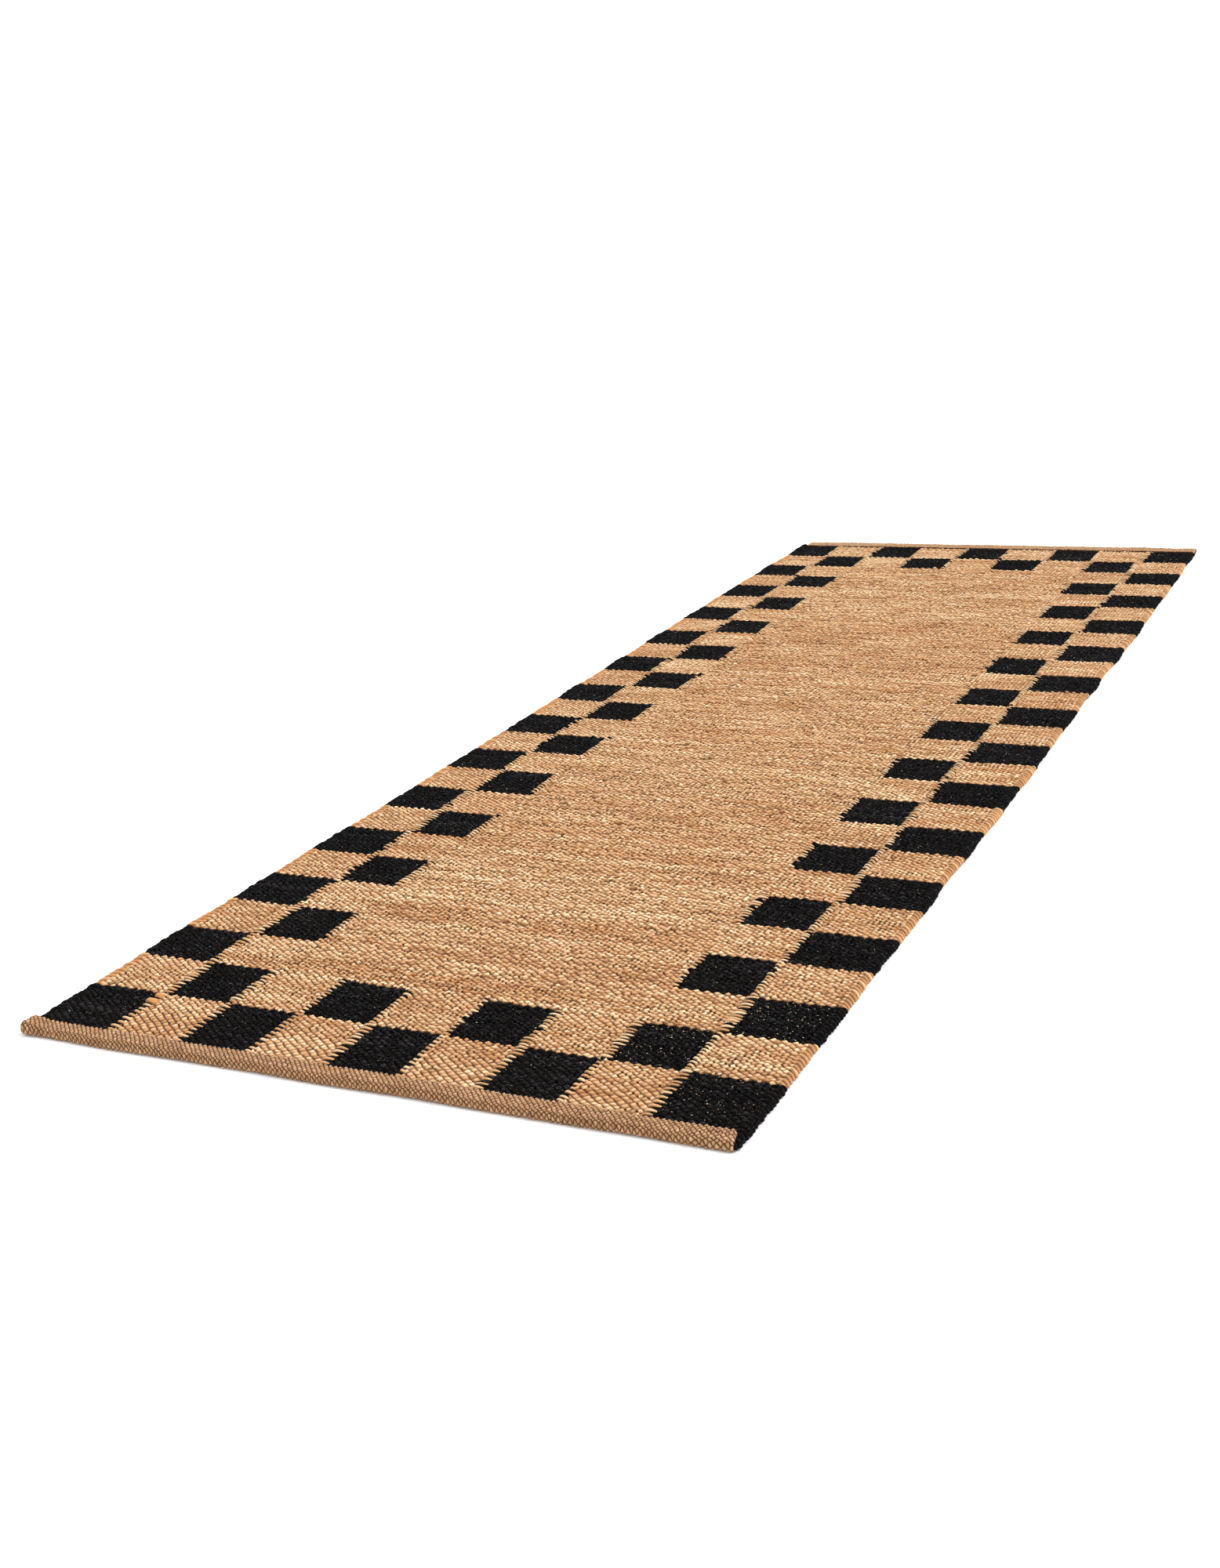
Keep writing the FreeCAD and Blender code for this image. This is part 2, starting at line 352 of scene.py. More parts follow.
class Face:
    """One face of the flat weave, or the outside of a hem: floats laid out on a curved lattice.

    Lattice places are (i, j): warp i and the line j between two picks. A float stands on warp i and
    pick k where i + k has the face's parity, and its six corners are lattice places.
    """

    def __init__(self, us, vs, surface, parity, flip, depth, first_i=0, seed=1, wild=1.0):
        """surface turns places (u, v) into points and their outward normals. flip is for a face whose
        normals point against its u and v."""
        self.parity, self.flip, self.depth, self.first_i = parity, flip, depth, first_i
        self.surface, self.lines = surface, len(vs)
        self.rand = np.random.default_rng(seed)
        pitch = np.abs(np.diff(vs)).mean()
        i, j = np.meshgrid(np.arange(len(us)), np.arange(len(vs)), indexing="ij")
        away = np.where((i + first_i + j) % 2 == parity, -1.0, 1.0)
        jitter = self.rand.uniform(-1, 1, (3, *i.shape))
        self.u = us[:, None] + 0.14 * wild * pitch * jitter[0]
        self.v = vs[None, :] + pitch * (SWELL * away + 0.16 * wild * jitter[1])
        point, normal = surface(self.u, self.v)
        self.corner = point - normal * (depth * (1 + 0.22 * jitter[2]))[..., None]

    def block(self, shell, i0, i1, k0, k1, tone, detail=2, wild=1.0):
        """Adds the floats of warps i0 up to i1 and picks k0 up to k1. Returns a function from a lattice
        place to its point's number in the shell."""
        i, k = np.meshgrid(np.arange(i0, i1), np.arange(k0, k1), indexing="ij")
        stands = (i + k) % 2 == self.parity
        i, k = i[stands] - self.first_i, k[stands]
        around_i = np.stack([i - 1, i, i + 1, i + 1, i, i - 1], 1)
        around_k = np.stack([k, k, k, k + 1, k + 1, k + 1], 1)
        places, index = np.unique(around_i * self.lines + around_k, return_inverse=True)
        index = index.reshape(-1, 6)
        corner_u = self.u.reshape(-1)[places]
        looks = tone(np.minimum(places % self.lines, self.lines - 2), corner_u, 0 * corner_u)
        # The corners lie at the bottom of the creases: relief 0 gives them the darkest painted shade.
        looks[:, 1] = 0
        start = shell.count
        shell.add(self.corner.reshape(-1, 3)[places], np.zeros((0, 3)), looks)

        u, v = self.u[around_i, around_k], self.v[around_i, around_k]
        mid_u, mid_v = u.mean(1), v.mean(1)
        chance = self.rand.uniform(-1, 1, (4, len(i)))
        slub = self.rand.uniform(0, 1, len(i)) < SLUBS
        scale = self.depth / CREASE
        swelling = DRIFT_SWELL * thick_thin(k, mid_u) + CHANCE_SWELL * chance[0] + SLUB_SWELL * slub
        swelling = scale * wild * np.maximum(swelling, THINNEST) * MM
        turn = scale * FLOAT_TURN * (1 + 0.5 * chance[1]) * (-1 if self.flip else 1)
        shape = FLOAT_SHAPES[detail]
        half = (u[:, 2] - u[:, 0]) / 2
        inner_u, inner_v, drop, relief_and_shade = [], [], [], []
        for corner, share, fall, height in shape["ring"]:
            side = (-1, 0, 1, 1, 0, -1)[corner]
            inner_u.append(mid_u + (u[:, corner] - mid_u) * share)
            inner_v.append(mid_v + (v[:, corner] - mid_v) * share - side * turn)
            drop.append(fall)
            relief_and_shade.append(height)
        for side in (-1, 1):
            inner_u.append(mid_u + 0.17 * side * half)
            inner_v.append(mid_v - 0.4 * side * turn)
            drop.append(0.04)
            relief_and_shade.append(1.0)
        point, normal = self.surface(np.stack(inner_u, 1), np.stack(inner_v, 1))
        relief_and_shade = np.array(relief_and_shade)
        height = swelling[:, None] * relief_and_shade - self.depth * np.array(drop)
        point = point + normal * height[..., None]
        inner = len(drop)
        looks = tone(k, mid_u, chance[2])
        looks[:, 0] += 0.3 * slub * np.sign(chance[3])
        looks = np.repeat(looks[:, None], inner, 1)
        # The float's relief also paints shade: darker on the ring, none on the ridge.
        looks[..., 1] = relief_and_shade
        ids = np.concatenate([index, len(places) + np.arange(inner * len(i)).reshape(-1, inner)], 1)
        faces = ids[:, shape["faces"]].reshape(-1, 3)
        if self.flip:
            faces = faces[:, ::-1]
        shell.add(point.reshape(-1, 3), faces + start - shell.count, looks.reshape(-1, 3))
        numbers = {int(place): start + n for n, place in enumerate(places)}
        return lambda i, j: numbers[(i - self.first_i) * self.lines + j]


def ring_and_ridge():
    """Faces of a float seen close: corners 0 to 5, a ring 6 to 11, ridge points 12 and 13."""
    faces = []
    for n in range(6):
        m = (n + 1) % 6
        faces += [(n, m, 6 + n), (m, 6 + m, 6 + n)]
    faces += [(6, 7, 12), (7, 13, 12), (7, 8, 13), (8, 9, 13)]
    faces += [(9, 10, 13), (10, 12, 13), (10, 11, 12), (11, 6, 12)]
    return np.array(faces)


def ridge():
    """Faces of a plainer float: corners 0 to 5, ridge points 6 and 7."""
    faces = [(0, 1, 6), (1, 7, 6), (1, 2, 7), (2, 3, 7), (3, 4, 7), (4, 6, 7), (4, 5, 6), (5, 0, 6)]
    return np.array(faces)


# A ring point is its corner, how far out it stands, how deep it lies and its relief, which also sets how
# much painted shade it gets.
RING_POINTS = [(n, 0.78, 0.24, 0.70) if n in (1, 4) else (n, 0.64, 0.44, 0.46) for n in range(6)]
FLOAT_SHAPES = {
    2: {"ring": RING_POINTS, "faces": ring_and_ridge()},
    1: {"ring": [], "faces": ridge()},
}


def border(parity, i0, i1, k0, k1):
    """Stations round a block of floats, anticlockwise: a corner, and the mid-line place below it."""

    def first(k):
        return i0 - 1 if (i0 + k) % 2 == parity else i0

    def last(k):
        return i1 if (i1 - 1 + k) % 2 == parity else i1 - 1

    left, right = i0 - 0.5, i1 - 0.5
    low = [((i, k0), (min(max(i, left), right), k0)) for i in range(first(k0), last(k0) + 1)]
    stations = [(low[0][0], (left, k0))] + low + [(low[-1][0], (right, k0))]
    for k in range(k0, k1):
        stations += [((last(k), k), (right, k)), ((last(k), k + 1), (right, k + 1))]
    k = k1 - 1
    high = [((i, k1), (min(max(i, left), right), k1)) for i in range(last(k), first(k) - 1, -1)]
    stations += [(high[0][0], (right, k1))] + high + [(high[-1][0], (left, k1))]
    for k in range(k1 - 1, k0 - 1, -1):
        stations += [((first(k), k + 1), (left, k + 1)), ((first(k), k), (left, k))]
    kept = [stations[0]]
    for station in stations[1:]:
        if station != kept[-1]:
            kept.append(station)
    return kept


def wall(shell, stations, corner_id, mid_id, flip):
    """The cloth's edge, from the border corners of one face to the mid-line."""
    faces = []
    for (c0, m0), (c1, m1) in zip(stations, stations[1:] + stations[:1]):
        a, b, p, q = corner_id(*c0), corner_id(*c1), mid_id(*m0), mid_id(*m1)
        if p != q:
            faces.append((a, p, q))
        if a != b:
            faces.append((a, q, b))
    faces = np.array(faces)
    if flip:
        faces = faces[:, ::-1]
    shell.add(np.zeros((0, 3)), faces - shell.count, np.zeros((0, 3)))


def mid_points(shell, keys, place):
    """Adds the points of a mid-line and returns a function from a key to its number."""
    keys = sorted(set(keys))
    start = shell.count
    # The mid-line points get relief 0, so the cloth's edges between its two faces take the darkest painted
    # shade.
    shell.add([place(*key) for key in keys], np.zeros((0, 3)), (0.4, 0, 0.3))
    numbers = {key: start + n for n, key in enumerate(keys)}
    return lambda i, j: numbers[(i, j)]


# ---------------------------------------------------------------- the flat weave


def top_surface(u, v):
    depth = np.where(u > 0, EDGE_DIP[1], EDGE_DIP[-1])
    dip = depth * np.clip((np.abs(u) - WEAVE_HIGH[0]) / WARP_PITCH + 0.4, 0, 1)
    point = np.stack([cloth_x(u, v), cloth_y(u, v), WEAVE_H + lie(u, v) - dip], -1)
    return point, np.broadcast_to([0.0, 0.0, 1.0], point.shape)


def under_surface(u, v):
    point = np.stack([cloth_x(u, v), cloth_y(u, v), UNDER_Z + lie(u, v)], -1)
    return point, np.broadcast_to([0.0, 0.0, -1.0], point.shape)


WEAVE_US = warp_x(np.arange(-EXTRA, WARPS + EXTRA))
TOP = Face(WEAVE_US, LINE_Y, top_surface, 0, False, CREASE, first_i=-EXTRA, seed=31, wild=WEAVE_WILD)
UNDER = Face(WEAVE_US, LINE_Y, under_surface, 1, True, UNDER_CREASE, first_i=-EXTRA, seed=32)


def weave_mid(i, j):
    u, v = float(warp_x(i)), float(LINE_Y[j])
    return cloth_x(u, v), cloth_y(u, v), WEAVE_H / 2


def woven(shell, i0, i1, k0, k1, tone, wild=1.0):
    """A closed block of weave: floats on both faces, and the edges between them."""
    rims = [border(face.parity, i0, i1, k0, k1) for face in (TOP, UNDER)]
    mid_id = mid_points(shell, [mid for rim in rims for _, mid in rim], weave_mid)
    wall(shell, rims[0], TOP.block(shell, i0, i1, k0, k1, tone, wild=wild), mid_id, False)
    wall(shell, rims[1], UNDER.block(shell, i0, i1, k0, k1, tone, detail=1), mid_id, True)


def yarn_looks(seed, tone_mid, warm_mid):
    """How one colour of yarn varies: by bobbin, along its length, and from float to float."""
    bobbin = in_groups(seed, PICKS, 1, 5)
    warmth = in_groups(seed + 1, PICKS, 1, 4)
    along = along_yarn(seed + 2, PICKS, 0.045)
    warm_along = along_yarn(seed + 3, PICKS, 0.03)
    patches = ripple(seed + 4, 0.25, 0.12)

    def for_check(shift=0):
        def tone(k, x, chance):
            line = (k + shift) % PICKS
            looks = np.zeros((len(x), 3))
            cloud = patches(x, LINE_Y[np.minimum(k, PICKS)])
            looks[:, 0] = tone_mid + (
                0.14 * bobbin[line] + 0.2 * along(line, x) + 0.26 * chance + 0.06 * cloud
            )
            looks[:, 2] = warm_mid + (0.26 * warmth[line] + 0.28 * warm_along(line, x))
            return looks

        return tone

    return for_check


natural_looks = yarn_looks(51, 0.5, 0.25)
black_looks = yarn_looks(61, 0.4, 0.2)


def is_black(c, r):
    ring = min(c, COLUMNS - 1 - c, r, ROWS - 1 - r) < RING
    return ring and (c + r) % 2 == 0


def group_of(c, r):
    """The part of the border that a check belongs to."""
    if c in (0, COLUMNS - 1):
        return "left_edge" if c == 0 else "right_edge"
    if r in (0, ROWS - 1):
        return "near_edge" if r == 0 else "far_edge"
    if c in (1, COLUMNS - 2):
        return "left_inner" if c == 1 else "right_inner"
    if r in (1, ROWS - 2):
        return "near_inner" if r == 1 else "far_inner"
    return None


# ---------------------------------------------------------------- materials


def srgb(text):
    """A linear colour from its sRGB hex."""
    values = [int(text[n:n + 2], 16) / 255 for n in (0, 2, 4)]
    linear = [v / 12.92 if v <= 0.04045 else ((v + 0.055) / 1.055) ** 2.4 for v in values]
    return (*linear, 1.0)


def node(tree, kind, settings=None, **inputs):
    """Adds a node. An input is a value, or a socket to link from; its name's _ stands for a space."""
    made = tree.nodes.new(kind)
    for name, value in (settings or {}).items():
        setattr(made, name, value)
    for name, value in inputs.items():
        key = int(name[2:]) if name.startswith("at") else name.replace("_", " ")
        if isinstance(value, bpy.types.NodeSocket):
            tree.links.new(value, made.inputs[key])
        else:
            made.inputs[key].default_value = value
    return made


def ramp(tree, source, stops):
    made = node(tree, "ShaderNodeValToRGB", Fac=source)
    first, last = made.color_ramp.elements
    first.position, first.color = stops[0]
    last.position, last.color = stops[-1]
    for position, colour in stops[1:-1]:
        made.color_ramp.elements.new(position).color = colour
    return made.outputs["Color"]


def jute(name, dark, mid, light, warm, painted_crease_shade, speck=None, sheen=0.1, gloss=0.4):
    """Spun bast fibre: streaky from bobbin to bobbin, with painted shade darkening the creases, fine
    fibres along it.
    """
    material = bpy.data.materials.new(name)
    material.use_nodes = True
    tree = material.node_tree
    shader = tree.nodes["Principled BSDF"]
    yarn = node(tree, "ShaderNodeAttribute", {"attribute_name": "yarn"})
    parts = node(tree, "ShaderNodeSeparateColor", Color=yarn.outputs["Color"])
    tone, relief_and_shade, warmth = parts.outputs
    place = node(tree, "ShaderNodeTexCoord").outputs["Object"]
    stretched = node(
        tree, "ShaderNodeMapping", Vector=place, Scale=(1 / FIBRE_L, 1 / FIBRE_W, 1 / FIBRE_W)
    )
    fibres = node(tree, "ShaderNodeTexNoise", Vector=stretched.outputs[0], Scale=1.0, Detail=3.0)
    fibre_tone = {"operation": "MULTIPLY_ADD"}
    lift = node(tree, "ShaderNodeMath", fibre_tone, at0=fibres.outputs[0], at1=1.2, at2=-0.6)
    toned = node(tree, "ShaderNodeMath", {"operation": "ADD"}, at0=tone, at1=lift.outputs[0])
    colour = ramp(tree, toned.outputs[0], [(0.1, srgb(dark)), (0.5, srgb(mid)), (0.9, srgb(light))])
    mix = {"data_type": "RGBA"}
    warmed = node(tree, "ShaderNodeMix", mix, at0=warmth, at6=colour, at7=srgb(warm)).outputs[2]
    if speck:
        flecks = node(tree, "ShaderNodeMapRange", Value=fibres.outputs[0], From_Min=0.61, From_Max=0.73)
        amount = flecks.outputs[0]
        warmed = node(tree, "ShaderNodeMix", mix, at0=amount, at6=warmed, at7=srgb(speck)).outputs[2]
    # Painted shade: the relief channel multiplies the colour, from the crease colour through tan to white,
    # darkening creases between floats and grooves between wraps.
    painted_shade = ramp(tree, relief_and_shade, [(0.02, srgb(painted_crease_shade)), (0.42, srgb("C6A682")), (0.82, srgb("FFFFFF"))])
    darken = {"data_type": "RGBA", "blend_type": "MULTIPLY"}
    with_painted_shade = node(tree, "ShaderNodeMix", darken, at0=1.0, at6=warmed, at7=painted_shade).outputs[2]
    bump = node(tree, "ShaderNodeBump", Height=fibres.outputs[0], Strength=0.9, Distance=0.5 * MM)
    tree.links.new(with_painted_shade, shader.inputs["Base Color"])
    tree.links.new(bump.outputs[0], shader.inputs["Normal"])
    shader.inputs["Roughness"].default_value = 0.85
    shader.inputs["IOR"].default_value = 1.5
    shader.inputs["Sheen Weight"].default_value = sheen
    shader.inputs["Specular IOR Level"].default_value = gloss
    return material


# Undyed spun jute, never bleached: matt straw, with paler and warmer stretches, and a brown painted shade
# in the creases.
natural = jute("natural jute", "A5794C", "D8B284", "EFDAB6", "BC8044", "482A14")
# The same jute, dyed black before it is woven: dead black, hardly any shine, grey where no dye took; its
# creases get a near-black painted shade.
black = jute(
    "black dyed jute", "030304", "070708", "28292D", "0E0B09", "0A0A0A",
    speck="6E7078", sheen=0.0, gloss=0.05,
)
# Fine two-ply twine of retted jute: taupe, duller and more even than the weft, with a dark brown painted
# shade in its creases.
twine = jute("taupe two-ply twine", "8A6744", "B48D65", "D6B68E", "A67A4E", "5A3D26")


# ---------------------------------------------------------------- building the flat weave


def build_checks():
    cells = {}
    for c in range(COLUMNS):
        for r in range(ROWS):
            group = group_of(c, r)
            if group:
                colour = "black" if is_black(c, r) else "natural"
                cells.setdefault((colour, group), []).append((c, r))
    made = []
    for (colour, group), members in cells.items():
        shell = Shell()
        looks = black_looks if colour == "black" else natural_looks
        for c, r in members:
            i0 = c * WARPS_PER_COLUMN - (1 if c == 0 else 0)
            i1 = (c + 1) * WARPS_PER_COLUMN + (1 if c == COLUMNS - 1 else 0)
            k0 = r * PICKS_PER_ROW
            woven(shell, i0, i1, k0, k0 + PICKS_PER_ROW, looks(int(rng.integers(PICKS))))
        name = f"{colour}_checks_{group}"
        material = black if colour == "black" else natural
        piece = shell.piece(f"woven_{name}", material, f"{colour}_jute", [name])
        made.append(piece)
    return made


def build_field():
    """The plain field, woven without a join; it is shown in bands so that none is too heavy."""
    made = []
    cuts = np.linspace(RING, ROWS - RING, FIELD_BANDS + 1).round().astype(int)
    for n, (low, high) in enumerate(zip(cuts, cuts[1:])):
        shell = Shell()
        i0, i1 = RING * WARPS_PER_COLUMN, (COLUMNS - RING) * WARPS_PER_COLUMN
        woven(shell, i0, i1, low * PICKS_PER_ROW, high * PICKS_PER_ROW, natural_looks(), FIELD_WILD)
        piece = shell.piece(f"woven_field_{n + 1}", natural, "natural_jute", ["plain_field"])
        made.append(piece)
    return made, [(high - low) * ROW_L for low, high in zip(cuts, cuts[1:])]


# ---------------------------------------------------------------- selvedges


def selvedge(side):
    """The weft wrapped round the edge cord, row by row, in the colour of the check beside it."""
    centre = side * (WEAVE_HIGH[0] + SELVEDGE_W / 2)
    shells = {"black": Shell(), "natural": Shell()}
    for r in range(ROWS):
        colour = "black" if is_black(0, r) else "natural"
        y0 = LINE_Y[r * PICKS_PER_ROW]
        y1 = LINE_Y[(r + 1) * PICKS_PER_ROW]
        far_tail = side < 0 and r == ROWS - 1
        near_tail = side > 0 and r == 0
        if far_tail:
            y1 = y1 + SELVEDGE_TAIL
        if near_tail:
            y0 = y0 - SELVEDGE_TAIL
        wraps = max(3, round((y1 - y0) / WRAP_PITCH[side]))
        along = wraps * WRAP_STEPS
        t = np.arange(along + 1) / along
        theta = np.arange(WRAP_SIDES) / WRAP_SIDES * 2 * math.pi
        t, theta = np.meshgrid(t, theta, indexing="ij")
        y = y0 + t * (y1 - y0)
        phase = t * wraps + side * WRAP_SLANT * np.cos(theta) * 0.5
        wrap = np.floor(phase).astype(int)
        ridge_shape = np.abs(np.sin(math.pi * phase)) ** WRAP_CREST
        r_row = np.random.default_rng(700 + r + 100 * (side > 0))
        spots = r_row.uniform(-1, 1, (wraps + 4, 4))
        fat = r_row.uniform(-1, 1, wraps + 4)[np.clip(wrap + 1, 0, wraps + 3)]
        bulge = WRAP_BULGE[colour] * np.sin(math.pi * t) ** 0.5
        ends = np.minimum(1, np.minimum(t, 1 - t) * (y1 - y0) / WRAP_END_L + 0.5)
        groove = WRAP_RELIEF[side] * (1 - ridge_shape)
        out = (WRAP_FATNESS * fat * ridge_shape - groove + bulge) * ends
        half_w = SELVEDGE_W / 2 - WRAP_SIDE_INSET + out
        half_h = HEM_H / 2 - WRAP_INSET[side] + out
        if far_tail or near_tail:
            tail = y1 - y if far_tail else y - y0
            close = np.sqrt(1 - (1 - np.clip(tail / TAIL_ROUND, 0.02, 1)) ** 2)
            half_w, half_h = half_w * close, half_h * close
        edge = np.full_like(y, side * WEAVE_HIGH[0])
        wander = cloth_x(edge, y) - edge
        x = centre + wander + half_w * np.cos(theta)
        z = HEM_H / 2 - 0.1 * MM + half_h * np.sin(theta)
        y = cloth_y(edge, y)
        points = np.stack([x, y, z], -1)
        looks = np.zeros(points.shape)
        spot = spots[np.clip(wrap + 1, 0, wraps + 3), (theta / WRAP_SPOT).astype(int)]
        looks[..., 0] = WRAP_TONE_AND_SHADE[side] + 0.34 * fat + 0.12 * spot
        # Painted shade: the grooves between wraps get low relief and so are darkened.
        looks[..., 1] = 0.1 + 0.9 * ridge_shape ** 1.6
        looks[..., 2] = WRAP_WARMTH[side] + 0.3 * np.roll(fat, 3, axis=0)
        tube(shells[colour], points, looks, flip=True)
    made = []
    name = "left" if side < 0 else "right"
    for colour, material in (("black", black), ("natural", natural)):
        node_name = f"{name}_selvedge_wrap_{colour}"
        made.append(shells[colour].piece(f"woven_{node_name}", material, f"{colour}_jute", [node_name]))
    return made


def tube(shell, points, looks, flip):
    """A closed tube through rings of points. flip when the rings turn against the way it runs."""
    rings, sides = points.shape[:2]
    number = np.arange(rings * sides).reshape(rings, sides)
    nxt = np.roll(number, -1, axis=1)
    a, b, c, d = number[:-1], nxt[:-1], nxt[1:], number[1:]
    faces = np.concatenate([
        np.stack([a, b, c], -1).reshape(-1, 3), np.stack([a, c, d], -1).reshape(-1, 3),
        np.array([(number[0, 0], number[0, n + 1], number[0, n]) for n in range(1, sides - 1)]),
        np.array([(number[-1, 0], number[-1, n], number[-1, n + 1]) for n in range(1, sides - 1)]),
    ])
    if flip:
        faces = faces[:, ::-1]
    shell.add(points.reshape(-1, 3), faces, looks.reshape(-1, 3))


# ---------------------------------------------------------------- hems


def hem(name, turned):
    """Fine twine weave folded under into a round nose. The far one is the near one turned round."""
    low, high = node_box("near_hem_band")
    nose_r = HEM_H / 2 + HEM_NOSE_EXTRA
    root = high[1] - (0 if turned else NEAR_PULL)
    flat_l = root - low[1] - nose_r
    nose_l = math.pi * nose_r
    total = 2 * flat_l + nose_l
    lines = 2 * round(total / HEM_PICK / 2)
    vs = np.arange(lines + 1) * total / lines
    warps = round((high[0] - low[0]) / HEM_WARP)
    us = low[0] + (np.arange(-1, warps + 1) + 0.5) * (high[0] - low[0]) / warps
    ripple_y = ripple(83 if turned else 81, 0.16, 1.0)
    ripple_z = ripple(84 if turned else 82, 0.10, 1.0)
    spin = -1 if turned else 1

    def fold(u, v):
        u = np.clip(u, low[0] + HEM_INSET, high[0] - HEM_INSET)
        end = np.minimum(u - low[0], high[0] - u)
        slim = np.sqrt(1 - (1 - np.clip(end / HEM_END_ROUND, 0, 1)) ** 2 + 1e-4)
        angle = np.clip((v - flat_l) / nose_l, 0, 1) * math.pi
        beyond = np.clip(v - flat_l - nose_l, 0, None)
        before = np.clip(flat_l - v, 0, None)
        reach = (beyond + before) / flat_l
        round_y = np.abs(np.sin(angle)) ** HEM_SQUARENESS
        round_z = -np.sign(np.cos(angle)) * np.abs(np.cos(angle)) ** HEM_SQUARENESS
        y = root - flat_l + (beyond + before) - nose_r * round_y * (0.7 + 0.3 * slim)
        height = round_z * nose_r * slim
        puff = HEM_PUFF * np.sin(math.pi * np.clip(reach, 0, 1))
        normal = np.stack([0 * u, -np.sin(angle), -np.cos(angle)], -1)
        fat = 0 if turned else END_FAT * np.exp(-((u - low[0]) / END_FAT_L) ** 2)
        z = nose_r + fat + height + HEM_WAVER_Z * ripple_z(u, 0 * u) * (angle > 1)
        shift = -HEM_WAVER_Y * (1 + ripple_y(u, 0 * u)) * (1 - reach)
        near_end = np.clip(1 - (high[0] - u) / HEM_FLARE_L, 0, 1)
        flare = (0 if turned else HEM_FLARE) * (1 - 0.6 * reach) * near_end
        flare = flare + spin * drawn_in(spin * u, spin * root)
        point = np.stack([u + flare, y + shift, z], -1) + normal * ((puff + fat) * slim)[..., None]
        turn = np.array([spin, spin, 1.0])
        return point * turn, normal * turn

    strand = in_groups(90 + turned, lines + 1, 1, 2)
    along = along_yarn(92 + turned, lines + 1, 0.02)

    def tone(k, x, chance):
        looks = np.zeros((len(x), 3))
        # The far hem of the same twine gets a higher tone than the near one: painted light that brightens
        # it.
        looks[:, 0] = (0.75 if turned else 0.5) + 0.12 * strand[k] + 0.12 * along(k, x) + 0.2 * chance
        looks[:, 2] = 0.3 + 0.2 * along(lines - k, x)
        return looks

    shell = Shell()
    face = Face(us, vs, fold, 0, False, HEM_CREASE, first_i=-1, seed=85 + turned, wild=HEM_WILD)

    def mid(i, j):
        j = min(j, lines - j)
        u = np.array(low[0] + (i + 0.5) * (high[0] - low[0]) / warps)
        y = root - flat_l + max(flat_l - vs[j], 0)
        if vs[j] > flat_l:
            y = root - flat_l - nose_r * 0.3 * math.sin((vs[j] - flat_l) / nose_l * math.pi)
        flare = HEM_FLARE * 0.7 if u > high[0] - 1 * MM and not turned else 0
        u = np.clip(u, low[0], high[0])
        return spin * (u + flare) + drawn_in(spin * u, spin * root), spin * y, nose_r

    rim = [(corner, (i, min(j, lines - j))) for corner, (i, j) in border(0, 0, warps, 0, lines)]
    mid_id = mid_points(shell, [key for _, key in rim], mid)
    corner_id = face.block(shell, 0, warps, 0, lines, tone, wild=HEM_SWELL_WILD)
    wall(shell, rim, corner_id, mid_id, False)
    return shell.piece(f"woven_{name}", twine, "jute_twine", [name])


# ---------------------------------------------------------------- turns between two colours


def arc_of_yarn(shell, start, heading, length, width, bend, looks):
    """A short length of yarn lying over the weave: fat where it comes up, drawn down at its tip."""
    t = np.linspace(0, 1, TURN_STEPS)
    dx, dy = math.cos(heading), math.sin(heading)
    curve = bend * 4 * t * (1 - t)
    x = start[0] + dx * length * t - dy * curve
    y = start[1] + dy * length * t + dx * curve
    body = np.array(TURN_BODY)
    z = WEAVE_H - TURN_SINK + TURN_RISE * np.array(TURN_ARCH) * (width / TURN_WIDTH) ** 0.5
    theta = np.arange(TURN_SIDES) / TURN_SIDES * 2 * math.pi
    across = np.cos(theta) * width / 2
    up = np.sin(theta) * width * 0.42
    points = np.stack([
        x[:, None] - dy * across * body[:, None],
        y[:, None] + dx * across * body[:, None],
        z[:, None] + up * body[:, None],
    ], -1)
    look = np.zeros(points.shape)
    look[..., 0] = looks[0]
    # Painted light and shade: the top of each turn is painted lighter, its underside and thin tip darker.
    painted_light = 0.5 * (1 + np.sin(theta)) * np.minimum(1, 3 * body[:, None] - 0.5)
    look[..., 1] = np.clip(0.15 + painted_light, 0, 1)
    look[..., 2] = looks[1]
    tube(shell, points, look, flip=False)


